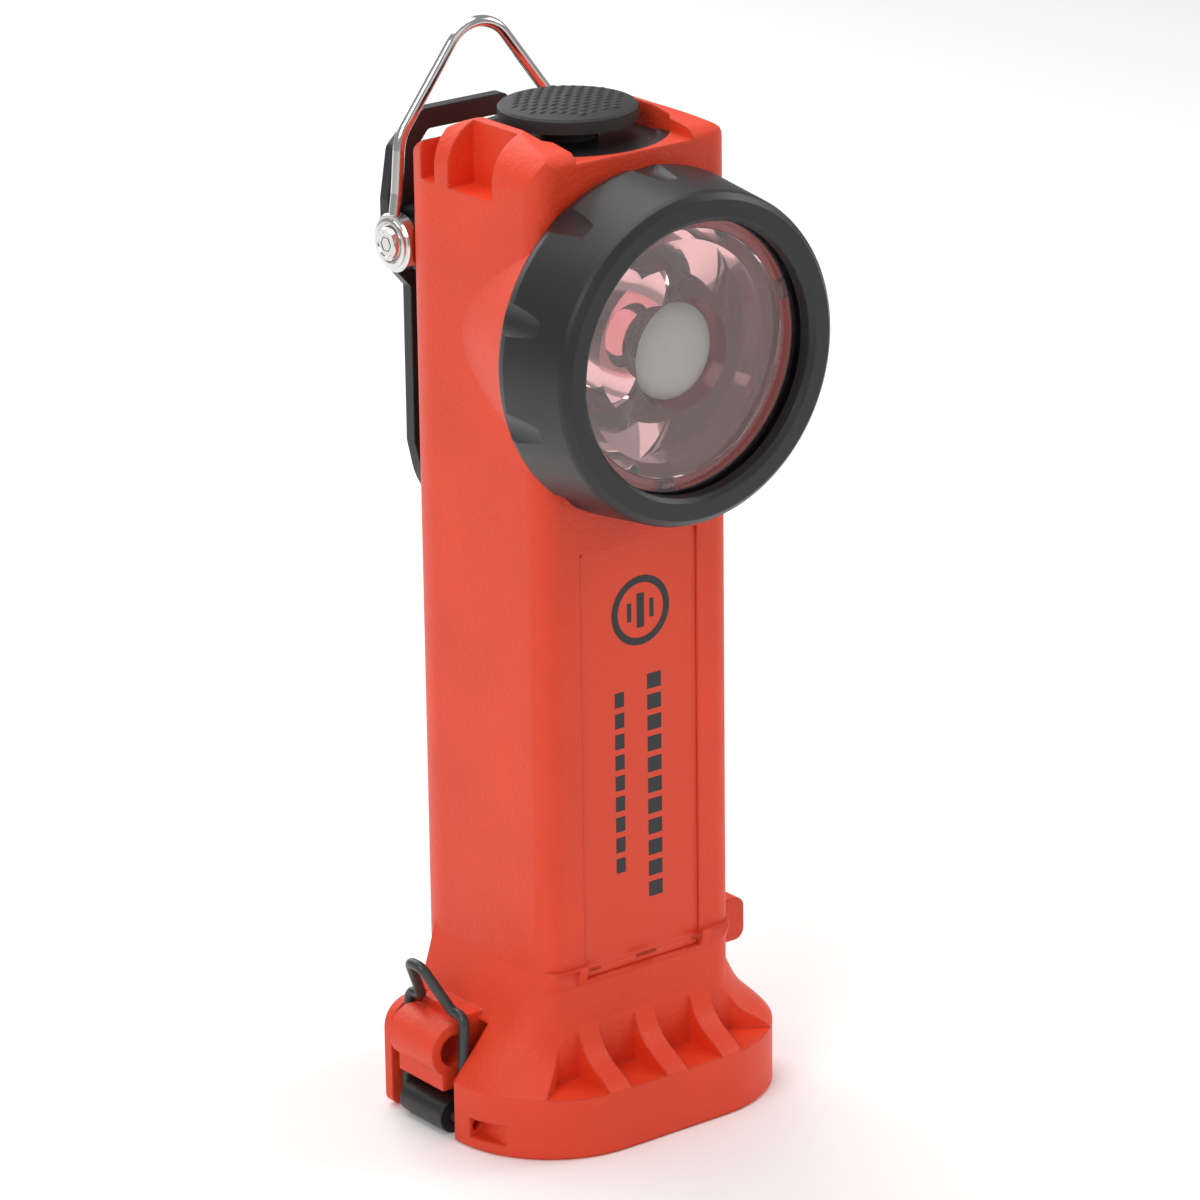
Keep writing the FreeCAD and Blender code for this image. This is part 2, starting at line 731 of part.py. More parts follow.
def light_engine():
    disc = about_lens("board_disc", [("0", "-14.8"), ("0", "-16"), ("8.2", "-16"), ("8.2", "-14.8")])
    board_holes = [cylinder(f"board_hole_{side + 1}", "y", "1", "-17", "-14", (f"{side * 6}", "head_height"))
                   for side in (-1, 1)]
    node(cut("led_board", disc, board_holes), "led_board")
    emitter = prism("emitter_base", "XZ_Plane", [
        ("-1.75", "head_height - 1.75"),
        ("1.75", "head_height - 1.75"),
        ("1.75", "head_height + 1.75"),
        ("-1.75", "head_height + 1.75"),
    ], "-16.8", "-16")
    dome = doc.addObject("Part::Sphere", "emitter_dome")
    bind(dome, {"Radius": "1.6", "Placement.Base.y": "-16.7", "Placement.Base.z": "head_height"})
    node(cut("led_emitter", fuse("emitter_solid", [emitter, dome]), [
        cylinder("emitter_back", "y", "3", "-16", "-12", ("0", "head_height")),
    ]), "led_emitter")
    sink = about_lens("sink_blank", [
        ("0", "head_bore_depth - 0.3"), ("head_bore - 0.1", "head_bore_depth - 0.3"),
        ("head_bore - 0.1", "-14.8"), ("0", "-14.8"),
    ])
    slots = []
    for number in range(5):
        low = f"{-10.6 + 5 * number}"
        slots.append(box(f"sink_slot_{number}", (low, "-9", "0"), (f"{low} + 1.2", "20", "200")))
    slots.append(box("sink_flat", ("-9", "-12", "head_height + 13.4"), ("9", "6", "200")))
    slots.append(box("sink_duct", ("-4", "0", "0"), ("4", "20", "head_height - 4")))
    for side in (-1, 1):
        slots.append(cylinder(f"sink_hole_{side + 1}", "y", "0.9", "-15", "-9", (f"{side * 6}", "head_height")))
    node(cut("heat_sink", sink, slots), "heat_sink")
    screws = []
    for side in (-1, 1):
        place = (f"{side * 6}", "head_height")
        screws.append(fuse(f"board_screw_{side + 1}", [
            cylinder(f"board_screw_head_{side + 1}", "y", "1.5", "-16.9", "-16", place),
            cylinder(f"board_screw_shank_{side + 1}", "y", "0.9", "-16.4", "-10", place),
        ]))
    node(group("board_screws", screws), "board_screws")


# Button: cap and stem, retaining ring, collar plate, switch and return spring.

def button():
    rim_top = "button_top - button_dome"
    rim_low = f"{rim_top} - button_edge"
    cap = about_button("button_cap", [
        ("0", "button_top"),
        ("button_radius * 0.45", "button_top - 0.25 * button_dome"),
        ("button_radius * 0.8", "button_top - 0.72 * button_dome"),
        ("button_radius - 0.4", f"{rim_top} - 0.1"),
        ("button_radius", f"{rim_top} - 0.5"),
        ("button_radius", rim_low),
        ("stem_radius", rim_low),
        ("stem_radius", "stem_bottom + 1.6"),
        ("stem_radius - 0.6", "stem_bottom + 1.6"),
        ("stem_radius - 0.6", "stem_bottom + 0.8"),
        ("stem_radius", "stem_bottom + 0.8"),
        ("stem_radius", "stem_bottom"),
        ("3.9", "stem_bottom"),
        ("3.9", "stem_bottom + 2.6"),
        ("0", "stem_bottom + 2.6"),
    ])
    node(cap, "button_cap")
    retainer = about_button("button_retainer", [
        ("stem_radius - 0.6", "stem_bottom + 0.8"),
        ("stem_radius + 1.3", "stem_bottom + 0.8"),
        ("stem_radius + 1.3", "stem_bottom + 1.6"),
        ("stem_radius - 0.6", "stem_bottom + 1.6"),
    ])
    node(retainer, "button_retainer")
    collar = about_button("collar_blank", [
        ("stem_radius + stem_clearance", "well_floor"),
        ("well_radius - 0.1", "well_floor"),
        ("well_radius - 0.1", "collar_top"),
        ("well_radius - 1.6", "collar_top"),
        ("well_radius - 2.2", "collar_top - 0.5"),
        ("stem_radius + stem_clearance", "collar_top - 0.5"),
    ])
    sides = box("collar_sides", ("-crest_inner + 0.1", "-50", "0"), ("crest_inner - 0.1", "50", "300"))
    node(common("switch_collar", [collar, sides]), "switch_collar")
    housing = box("switch_block", ("-6", "button_middle - 6", "switch_top - switch_height"),
                  ("6", "button_middle + 6", "switch_top"))
    plunger = cylinder("switch_pip", "z", "1.6", "switch_top - 0.5", "stem_bottom + 1.0", ("0", "button_middle"))
    node(fuse("switch_housing", [housing, plunger]), "switch_housing")
    low = measure("switch_top") + 0.4
    high = measure("stem_bottom + 2.6") - 0.4
    coil = spring_shape(3.0, 0.35, high - low, 3)
    node(shaped("button_spring", coil, Vector(0, measure("button_middle"), low)), "button_spring")


def spring_shape(radius, wire, length, coils):
    """A round-wire helix with its axis on Z and its first turn's middle at the origin."""
    helix = Part.makeHelix(length / coils, length, radius)
    section = Part.Wire([Part.makeCircle(wire, Vector(radius, 0, 0), Vector(0, 1, 0))])
    return Part.Wire(helix).makePipeShell([section], True, True)


# Batteries, contacts and electronics in the body.

def batteries():
    plate = "cell_pitch / 2 + cell_radius + 1.2"
    low = "carrier_bottom"
    top = "carrier_bottom + 2 * carrier_plate + cell_length"
    carrier = fuse("battery_carrier", [
        box("carrier_low", (f"-({plate})", f"-({plate})", low), (plate, plate, f"{low} + carrier_plate")),
        box("carrier_high", (f"-({plate})", f"-({plate})", f"{top} - carrier_plate"), (plate, plate, top)),
        box("carrier_web_x", ("-carrier_web / 2", f"-({plate})", low), ("carrier_web / 2", plate, top)),
        box("carrier_web_y", (f"-({plate})", "-carrier_web / 2", low), (plate, "carrier_web / 2", top)),
    ])
    node(carrier, "battery_carrier")
    cells = []
    for number, (x, y) in enumerate(((-1, -1), (1, -1), (1, 1), (-1, 1))):
        place = (f"{x} * cell_pitch / 2", f"{y} * cell_pitch / 2")
        start = f"{low} + carrier_plate"
        cells.append(fuse(f"cell_{number}", [
            cylinder(f"cell_can_{number}", "z", "cell_radius", start, f"{start} + cell_length - 1", place),
            cylinder(f"cell_tip_{number}", "z", "2.7", f"{start} + cell_length - 1.2", f"{start} + cell_length", place),
        ]))
    node(group("battery_cells", cells), "battery_cells")
    board_low = f"{top} + 4"
    inner = f"{half_width} - shell_wall - 0.1"
    deep = f"{half_depth} - shell_wall - 0.1"

    def filling(name, bottom, upper):
        return prism(name, "XY_Plane", [
            (f"-({inner})", f"-({deep})"),
            (inner, f"-({deep})"),
            (inner, deep),
            (f"-({inner})", deep),
        ], bottom, upper, [([0, 1, 2, 3], "bay_corner - 0.1")])

    node(filling("contact_board", board_low, f"{board_low} + contact_plate"), "contact_board")
    node(filling("driver_module", f"{board_low} + contact_plate", "bay_top"), "driver_module")
    springs = []
    for number, side in enumerate((-1, 1)):
        coil = spring_shape(3.0, 0.35, 3.0, 3)
        place = Vector(side * measure("cell_pitch / 2"), 0, measure(top) + 0.5)
        springs.append(shaped(f"contact_spring_{number}", coil, place))
    node(group("contact_springs", springs), "contact_springs")


# Tail door: plug, toe, hinge knuckles, gasket and spring contacts.

def tail_door():
    inner = f"{half_width} - shell_wall - door_gap"
    deep = f"{half_depth} - shell_wall - door_gap"
    plug = prism("door_plug", "XY_Plane", [
        (f"-({inner})", f"-({deep})"),
        (inner, f"-({deep})"),
        (inner, deep),
        (f"-({inner})", deep),
    ], "door_bottom", "door_top", [([0, 1, 2, 3], "bay_corner - door_gap")])
    pieces = [plug, box("door_toe", ("-toe_out", "-toe_half", "door_bottom + 0.8"),
                        (f"-{half_width} + shell_wall + 2", "toe_half", "5.2"))]
    for side, sign in (("right", 1), ("left", -1)):
        start = "lug_length / 2 + knuckle_gap" if sign > 0 else "-lug_length / 2 - knuckle_length - knuckle_gap"
        end = f"{start} + knuckle_length"
        pieces.append(cylinder(f"knuckle_{side}", "y", "knuckle_radius", start, end, ("hinge_out", "hinge_height")))
        pieces.append(box(f"knuckle_arm_{side}", (f"{inner} - 1", start, "hinge_height - 2.4"),
                          ("hinge_out", end, "hinge_height + 2.4")))
    bore = cylinder("knuckle_bore", "y", "hinge_pin_radius + hinge_clearance", "-20", "20",
                    ("hinge_out", "hinge_height"))
    node(cut("tail_door", fuse("door_solid", pieces), [bore]), "tail_door")
    outer = prism("gasket_outer", "XY_Plane", [
        (f"-({inner} - 0.4)", f"-({deep} - 0.4)"),
        (f"{inner} - 0.4", f"-({deep} - 0.4)"),
        (f"{inner} - 0.4", f"{deep} - 0.4"),
        (f"-({inner} - 0.4)", f"{deep} - 0.4"),
    ], "door_top", "door_top + 0.5", [([0, 1, 2, 3], "bay_corner - 0.7")])
    hole = prism("gasket_hole", "XY_Plane", [
        (f"-({inner} - 1.8)", f"-({deep} - 1.8)"),
        (f"{inner} - 1.8", f"-({deep} - 1.8)"),
        (f"{inner} - 1.8", f"{deep} - 1.8"),
        (f"-({inner} - 1.8)", f"{deep} - 1.8"),
    ], "door_top - 1", "door_top + 2", [([0, 1, 2, 3], "bay_corner - 2.1")])
    node(cut("door_gasket", outer, [hole]), "door_gasket")
    node(box("door_contact", ("-12", "-12", "door_top"), ("12", "12", "door_top + 0.5")), "door_contact")
    springs = []
    for number, side in enumerate((-1, 1)):
        wire = 0.35
        low = measure("door_top + 0.5") + wire
        coil = spring_shape(3.0, wire, measure("carrier_bottom") - 0.3 - wire - low, 5)
        place = Vector(side * measure("cell_pitch / 2"), 0, low)
        springs.append(shaped(f"door_spring_{number}", coil, place))
    node(group("door_springs", springs), "door_springs")
    pin_end = "lug_length / 2 + knuckle_gap + knuckle_length + 0.3"
    node(cylinder("hinge_pin", "y", "hinge_pin_radius", f"-({pin_end})", pin_end, ("hinge_out", "hinge_height")),
         "hinge_pin")


# Latch: wire bail, and the bar on its lower ends.

def latch():
    out = -measure("latch_out")
    pivot_out = -measure("bail_pivot_out")
    half = measure("bail_half")
    neck = measure("bail_neck")
    height = measure("bail_pivot_height")
    side = [
        Vector(out, 3.0, measure("bar_height")),
        Vector(out, half, measure("bar_height")),
        Vector(pivot_out, half, height),
        Vector(pivot_out, neck, height),
        Vector(pivot_out - measure("tab_out"), measure("tab_half"), height + measure("tab_height")),
    ]
    points = [Vector(point.x, -point.y, point.z) for point in side]
    points += list(reversed(side))
    bends = [1.6, 1.7, 1.4, 1.7, 1.7, 1.4, 1.7, 1.6]
    wire = bent_wire(points, bends, measure("bail_wire"))
    bar = cylinder("latch_bar_blank", "y", "bar_radius", "-bar_half", "bar_half", ("-latch_out", "bar_height"))
    bores = []
    for side_name, low, high in (("front", "-bar_half - 1", "-2.9"), ("back", "2.9", "bar_half + 1")):
        bores.append(cylinder(f"bar_bore_{side_name}", "y", "bail_wire", low, high, ("-latch_out", "bar_height")))
    node(shaped("latch_bail", wire), "latch_bail")
    node(cut("latch_bar", bar, bores), "latch_bar")


# Back: bracket block, screws, pivot pin, clip, spring, ring.

def bracket():
    block = prism("bracket_block", "YZ_Plane", [
        ("bracket_front", "pivot_height - bracket_half_height"),
        ("bracket_back", "pivot_height - bracket_half_height"),
        ("bracket_back", "pivot_height + bracket_half_height"),
        ("bracket_front", "pivot_height + bracket_half_height"),
    ], "-bracket_half", "bracket_half", [([1, 2], "1.5")])
    screw_out = "9.5"
    cutters = [
        cylinder("bracket_bore", "x", "pivot_radius", "-20", "20", ("pivot_back", "pivot_height")),
        box("spring_room", ("-5", "pivot_back - 4", "pivot_height - 4"), ("5", "bracket_back + 1", "pivot_height + 4")),
    ]
    screws = []
    for side in (-1, 1):
        place = (f"{side} * {screw_out}", "pivot_height - 3.6")
        cutters.append(cylinder(f"bracket_hole_{side + 1}", "y", "1.25", "0", "40", place))
        cutters.append(cylinder(f"bracket_sink_{side + 1}", "y", "1.9", "bracket_back - 1.6", "40", place))
        screws.append(fuse(f"bracket_screw_{side + 1}", [
            cylinder(f"bracket_screw_head_{side + 1}", "y", "1.85", "bracket_back - 1.6", "bracket_back - 0.3", place),
            cylinder(f"bracket_screw_shank_{side + 1}", "y", "1.2", "bracket_front - 0.05", "bracket_back - 1", place),
        ]))
    node(cut("clip_bracket", block, cutters), "clip_bracket")
    node(group("bracket_screws", screws), "bracket_screws")
    end = "eyelet_outer + 0.9"
    pin = fuse("pivot_pin", [
        cylinder("pivot_rod", "x", "pivot_radius", f"-({end})", end, ("pivot_back", "pivot_height")),
        cylinder("pivot_head_right", "x", "2.9", "eyelet_outer + 0.2", end, ("pivot_back", "pivot_height")),
        cylinder("pivot_head_left", "x", "2.9", f"-({end})", "-eyelet_outer - 0.2", ("pivot_back", "pivot_height")),
    ])
    node(pin, "pivot_pin")
    coil = spring_shape(2.3, 0.45, 8.0, 6)
    place = Vector(-4.0, measure("pivot_back"), measure("pivot_height"))
    node(shaped("clip_spring", coil, place, turns["x"]), "clip_spring")


def clip():
    """Sprung clip: thumb frame above the pivot, blade below it, an ear on each side of the pivot."""
    back = "clip_front + clip_thickness"
    ear = "clip_ear_outer"
    face = prism("clip_face", "XZ_Plane", [
        ("8.7", "clip_top"), ("-8.7", "clip_top"),
        ("-14.9", "clip_top - 5.8"), (f"-{ear}", "pivot_height + 6"),
        (f"-{ear}", "pivot_height - 5"), ("-blade_half", "pivot_height - 10"),
        ("-blade_half", "clip_bend"),
        ("blade_half", "clip_bend"),
        ("blade_half", "pivot_height - 10"), (ear, "pivot_height - 5"),
        (ear, "pivot_height + 6"), ("14.9", "clip_top - 5.8"),
    ], "clip_front", back, [([0, 1], "1.5"), ([2, 11], "2")])
    opening = prism("clip_window", "XZ_Plane", [
        ("7.6", "clip_top - 3.6"), ("-7.6", "clip_top - 3.6"),
        ("-10.6", "clip_top - 7.2"), ("-10.6", "pivot_height + 7.5"),
        ("10.6", "pivot_height + 7.5"), ("10.6", "clip_top - 7.2"),
    ], "clip_front - 1", f"{back} + 1", [([0, 1, 3, 4], "1.2")])
    tip = prism("clip_tip_side", "YZ_Plane", [
        ("clip_front", "clip_bend"), (back, "clip_bend"),
        (f"{half_depth} + 2.9", "clip_tip"), (f"{half_depth} + 0.5", "clip_tip"),
        (f"{half_depth} + 0.5", "clip_tip + 2.5"),
    ], "-blade_half", "blade_half")
    tip_face = prism("clip_tip_face", "XZ_Plane", [
        ("-blade_half", "clip_bend + 1"), ("-blade_half", "clip_tip"),
        ("blade_half", "clip_tip"), ("blade_half", "clip_bend + 1"),
    ], "0", "60", [([1, 2], "9")])
    pieces = [cut("clip_frame", face, [opening]), common("clip_tip", [tip, tip_face])]
    for side, sign in (("right", 1), ("left", -1)):
        low, high = ("clip_ear_inner", ear) if sign > 0 else (f"-{ear}", "-clip_ear_inner")
        pieces.append(cylinder(f"clip_ear_{side}", "x", "clip_ear_radius", low, high, ("pivot_back", "pivot_height")))
        pieces.append(box(f"clip_ear_web_{side}", (low, "pivot_back", "pivot_height - clip_ear_radius"),
                          (high, back, "pivot_height + clip_ear_radius")))
    bore = cylinder("clip_bore", "x", "pivot_radius + pivot_clearance", "-20", "20", ("pivot_back", "pivot_height"))
    node(cut("clip", fuse("clip_solid", pieces), [bore]), "clip")


def hang_ring():
    back = measure("pivot_back")
    apex = measure("ring_apex - ring_wire")
    slope = math.radians(measure("ring_slope"))
    bend = measure("ring_bend")
    shoulder = measure("ring_shoulder")
    peak = apex + bend / math.sin(slope) - bend
    middle = (measure("eyelet_inner") + measure("eyelet_outer")) / 2
    side = [
        Vector(middle, back, measure("pivot_height") + measure("eyelet_radius") - 0.6),
        Vector(middle - 0.6, back, measure("pivot_height") + 8.5),
        Vector(shoulder, back, peak - shoulder / math.tan(slope)),
        Vector(0, back, peak),
    ]
    points = [Vector(-point.x, point.y, point.z) for point in side]
    points += list(reversed(side[:-1]))
    wire = bent_wire(points, [6, 8, bend, 8, 6], measure("ring_wire"))
    blanks = []
    eyelets = []
    for side_name, sign in (("right", 1), ("left", -1)):
        low, high = ("eyelet_inner", "eyelet_outer") if sign > 0 else ("-eyelet_outer", "-eyelet_inner")
        place = ("pivot_back", "pivot_height")
        blank = cylinder(f"eyelet_blank_{side_name}", "x", "eyelet_radius", low, high, place)
        bore = cylinder(f"eyelet_bore_{side_name}", "x", "pivot_radius + pivot_clearance", "-30", "30", place)
        eyelets.append(cut(f"eyelet_{side_name}", blank, [bore]))
        blanks.append(cylinder(f"wire_end_{side_name}", "x", "eyelet_radius", low, high, place))
    node(cut("hang_ring", shaped("ring_wire_bend", wire), blanks), "hang_ring")
    node(group("ring_eyelets", eyelets), "ring_eyelets")


body_shell()
front_label()
bezel_ring()
window()
window_gasket()
optic()
optic_holder()
light_engine()
button()
batteries()
tail_door()
latch()
bracket()
clip()
hang_ring()
doc.recompute()

failed = [item.Name for item in doc.Objects if "Invalid" in item.State or "Error" in item.State]
for item in nodes:
    if item.Shape.isNull() or not item.Shape.isValid() or not item.Shape.Solids:
        failed.append(item.Label)
if failed:
    raise RuntimeError("failed: " + ", ".join(failed))

os.makedirs("parts", exist_ok=True)
for item in nodes:
    item.Shape.exportStep(f"parts/{item.Label}.step")
    bounds = item.Shape.BoundBox
    print(f"{item.Label:18s} solids {len(item.Shape.Solids)} volume {item.Shape.Volume:10.1f} "
          f"x {bounds.XMin:7.2f} {bounds.XMax:7.2f} y {bounds.YMin:7.2f} {bounds.YMax:7.2f} "
          f"z {bounds.ZMin:7.2f} {bounds.ZMax:7.2f}")
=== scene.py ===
import math

import bpy
from mathutils import Matrix, Vector


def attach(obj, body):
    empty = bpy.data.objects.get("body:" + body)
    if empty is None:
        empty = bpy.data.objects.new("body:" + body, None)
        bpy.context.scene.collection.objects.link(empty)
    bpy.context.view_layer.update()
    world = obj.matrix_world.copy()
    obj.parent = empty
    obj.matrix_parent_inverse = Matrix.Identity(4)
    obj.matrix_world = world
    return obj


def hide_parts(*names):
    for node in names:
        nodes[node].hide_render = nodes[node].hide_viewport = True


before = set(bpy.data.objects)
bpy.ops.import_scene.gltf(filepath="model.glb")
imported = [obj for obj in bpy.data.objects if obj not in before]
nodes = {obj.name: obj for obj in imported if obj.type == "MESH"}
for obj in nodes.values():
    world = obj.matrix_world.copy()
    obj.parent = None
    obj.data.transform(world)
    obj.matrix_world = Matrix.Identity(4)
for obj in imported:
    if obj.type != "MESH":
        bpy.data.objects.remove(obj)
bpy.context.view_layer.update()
mm = 0.001


# Camera, floor and studio lights

camera = {
    "place": (-0.5647, -0.7452, 0.4219),
    "right": (0.7904, -0.6125, -0.0117),
    "up": (0.2139, 0.2581, 0.9421),
    "back": (-0.5740, -0.7472, 0.3350),
    "lens": 173.0,
}


def addCamera():
    data = bpy.data.cameras.new("camera")
    data.lens = camera["lens"]
    data.sensor_width = 36
    data.clip_start = 0.05
    item = bpy.data.objects.new("camera", data)
    bpy.context.scene.collection.objects.link(item)
    turn = Matrix((camera["right"], camera["up"], camera["back"])).transposed()
    item.matrix_world = Matrix.Translation(camera["place"]) @ turn.to_4x4()
    bpy.context.scene.camera = item
    bpy.context.scene.view_settings.view_transform = "Standard"
    print("camera set")


lights = {
    "key": {"place": (-0.80, -0.30, 0.70), "size": 0.5, "power": 3.6, "colour": (1, 0.98, 0.96)},
    "front": {"place": (0.10, -1.10, 0.60), "size": 0.7, "power": 0.8, "colour": (1, 1, 1)},
    "right": {"place": (0.85, -0.30, 0.60), "size": 0.4, "power": 2.6, "colour": (1, 0.99, 0.98)},
    "top": {"place": (0.0, 0.1, 1.0), "size": 0.8, "power": 4.5, "colour": (1, 1, 1)},
    "back": {"place": (0.1, 0.9, 0.6), "size": 0.8, "power": 5, "colour": (1, 1, 1)},
}
worldLevel = 0.34


def addLights():
    aim = Vector((0, 0, 0.1))
    for name, light in lights.items():
        data = bpy.data.lights.new(name, "AREA")
        data.shape = "SQUARE"
        data.size = light["size"]
        data.energy = light["power"]
        data.color = light["colour"]
        item = bpy.data.objects.new(name, data)
        item.location = light["place"]
        item.rotation_euler = (aim - Vector(light["place"])).to_track_quat("-Z", "Y").to_euler()
        bpy.context.scene.collection.objects.link(item)
    world = bpy.data.worlds.new("studio")
    world.use_nodes = True
    world.node_tree.nodes["Background"].inputs["Color"].default_value = (1, 1, 1, 1)
    world.node_tree.nodes["Background"].inputs["Strength"].default_value = worldLevel
    bpy.context.scene.world = world
    print("lights set")


def deselect():
    bpy.ops.object.select_all(action="DESELECT")


def addFloor():
    deselect()
    bpy.ops.mesh.primitive_plane_add(size=6, location=(0, 0, 0))
    floor = bpy.context.object
    floor.name = "floor"
    floor.data.materials.append(plain("floorWhite", (0.97, 0.97, 0.97), 0.7))


# Materials

def newMaterial(name):
    material = bpy.data.materials.new(name)
    material.use_nodes = True
    return material, material.node_tree.nodes, material.node_tree.links


def plain(name, colour, rough):
    material, items, links = newMaterial(name)
    shader = items["Principled BSDF"]
    shader.inputs["Base Color"].default_value = (*colour, 1)
    shader.inputs["Roughness"].default_value = rough
    return material


# Moulded plastic: a fine stipple, a slow drift of colour, a little change in gloss and softened edges.
def moulded(name, colour, rough, grain, grainDepth, mottle=0.06, edge=0.0):
    material, items, links = newMaterial(name)
    shader = items["Principled BSDF"]
    place = items.new("ShaderNodeTexCoord")
    stipple = items.new("ShaderNodeTexNoise")
    stipple.inputs["Scale"].default_value = grain
    stipple.inputs["Detail"].default_value = 3
    stipple.inputs["Roughness"].default_value = 0.6
    links.new(place.outputs["Object"], stipple.inputs["Vector"])
    bump = items.new("ShaderNodeBump")
    bump.inputs["Strength"].default_value = 0.5
    bump.inputs["Distance"].default_value = grainDepth
    links.new(stipple.outputs["Fac"], bump.inputs["Height"])
    if edge:
        soften = items.new("ShaderNodeBevel")
        soften.samples = 4
        soften.inputs["Radius"].default_value = edge
        links.new(soften.outputs["Normal"], bump.inputs["Normal"])
    links.new(bump.outputs["Normal"], shader.inputs["Normal"])
    drift = items.new("ShaderNodeTexNoise")
    drift.inputs["Scale"].default_value = 45
    drift.inputs["Detail"].default_value = 4
    links.new(place.outputs["Object"], drift.inputs["Vector"])
    tint = items.new("ShaderNodeValToRGB")
    dark = [c * (1 - mottle) for c in colour]
    light = [min(1, c * (1 + mottle)) for c in colour]
    tint.color_ramp.elements[0].position = 0.3
    tint.color_ramp.elements[0].color = (*dark, 1)
    tint.color_ramp.elements[1].position = 0.7
    tint.color_ramp.elements[1].color = (*light, 1)
    links.new(drift.outputs["Fac"], tint.inputs["Fac"])
    links.new(tint.outputs["Color"], shader.inputs["Base Color"])
    gloss = items.new("ShaderNodeMapRange")
    gloss.inputs["To Min"].default_value = rough - 0.05
    gloss.inputs["To Max"].default_value = rough + 0.06
    links.new(stipple.outputs["Fac"], gloss.inputs["Value"])
    links.new(gloss.outputs["Result"], shader.inputs["Roughness"])
    return material


def metal(name, colour, rough, grain=900):
    material, items, links = newMaterial(name)
    shader = items["Principled BSDF"]
    shader.inputs["Metallic"].default_value = 1
    shader.inputs["Base Color"].default_value = (*colour, 1)
    place = items.new("ShaderNodeTexCoord")
    scuff = items.new("ShaderNodeTexNoise")
    scuff.inputs["Scale"].default_value = grain
    scuff.inputs["Detail"].default_value = 4
    links.new(place.outputs["Object"], scuff.inputs["Vector"])
    gloss = items.new("ShaderNodeMapRange")
    gloss.inputs["To Min"].default_value = max(0.02, rough - 0.06)
    gloss.inputs["To Max"].default_value = rough + 0.08
    links.new(scuff.outputs["Fac"], gloss.inputs["Value"])
    links.new(gloss.outputs["Result"], shader.inputs["Roughness"])
    return material


def clear(name, rough=0.02, colour=(1, 1, 1), ior=1.49):
    material, items, links = newMaterial(name)
    shader = items["Principled BSDF"]
    shader.inputs["Base Color"].default_value = (*colour, 1)
    shader.inputs["Roughness"].default_value = rough
    shader.inputs["Transmission Weight"].default_value = 1
    shader.inputs["IOR"].default_value = ior
    return material


addCamera()
addLights()
addFloor()

finishes = {
    "orangeShell": moulded("orangeShell", (0.77, 0.050, 0.010), 0.52, 1150, 0.00030, edge=0.0007),
    "orangeLabel": moulded("orangeLabel", (0.76, 0.050, 0.009), 0.44, 3000, 0.00003, 0.02),
    "blackSatin": moulded("blackSatin", (0.014, 0.014, 0.015), 0.40, 2200, 0.00005, edge=0.0004),
    "blackButton": moulded("blackButton", (0.020, 0.020, 0.021), 0.55, 1800, 0.00008),
    "sealRubber": moulded("sealRubber", (0.02, 0.02, 0.02), 0.7, 1500, 0.00008),
    "redHolder": moulded("redHolder", (0.60, 0.004, 0.008), 0.22, 600, 0.00001, 0.03),
    "steel": metal("steel", (0.72, 0.71, 0.70), 0.14),
    "springWire": metal("springWire", (0.6, 0.6, 0.6), 0.25),
    "coatedWire": moulded("coatedWire", (0.030, 0.042, 0.040), 0.34, 1800, 0.00003),
    "aluminium": metal("aluminium", (0.78, 0.78, 0.79), 0.3),
    "whiteBoard": moulded("whiteBoard", (0.85, 0.85, 0.83), 0.45, 800, 0.00002, 0.02),
    "phosphor": moulded("phosphor", (0.85, 0.78, 0.35), 0.3, 900, 0.00001, 0.03),
    "potting": moulded("potting", (0.05, 0.05, 0.055), 0.35, 700, 0.00003),
    "cellSleeve": moulded("cellSleeve", (0.12, 0.18, 0.30), 0.3, 500, 0.00001, 0.03),
    "contact": metal("contact", (0.80, 0.62, 0.32), 0.28),
    "clear": clear("clear"),
    "clearTinted": clear("clearTinted", 0.02, (0.93, 0.50, 0.50)),
    "lensWhite": moulded("lensWhite", (0.78, 0.75, 0.70), 0.35, 900, 0.00002, 0.05),
    "markBlack": moulded("markBlack", (0.012, 0.012, 0.013), 0.42, 2600, 0.00002),
    # near-black for the pin's hexagon sockets: painted shade for the shaded hollows of the sockets, not a
    # colour of the steel pin
    "socketPaintedShade": moulded("socketPaintedShade", (0.02, 0.02, 0.021), 0.5, 1500, 0.00004),
}

nodeFinish = {
    "orangeShell": ["body_shell"],
    "orangeLabel": ["front_label"],
    "blackSatin": ["bezel_ring", "switch_collar", "clip", "clip_bracket", "tail_door", "latch_bar",
                   "switch_housing", "battery_carrier"],
    "blackButton": ["button_cap"],
    "sealRubber": ["window_gasket", "door_gasket"],
    "redHolder": ["optic_holder"],
    "steel": ["hang_ring", "ring_eyelets", "pivot_pin", "bracket_screws", "hinge_pin", "button_retainer",
              "board_screws"],
    "springWire": ["button_spring", "clip_spring", "contact_springs", "door_springs"],
    "coatedWire": ["latch_bail"],
    "aluminium": ["heat_sink"],
    "whiteBoard": ["led_board", "contact_board"],
    "phosphor": ["led_emitter"],
    "potting": ["driver_module"],
    "cellSleeve": ["battery_cells"],
    "contact": ["door_contact"],
    "clear": ["window"],
    "clearTinted": ["optic"],
}


def finishNodes():
    for finish, names in nodeFinish.items():
        for name in names:
            data = nodes[name].data
            data.materials.clear()
            data.materials.append(finishes[finish])
    print("CAD nodes finished")


finishNodes()


# Shared modelling steps

headHeight = 141.5 * mm


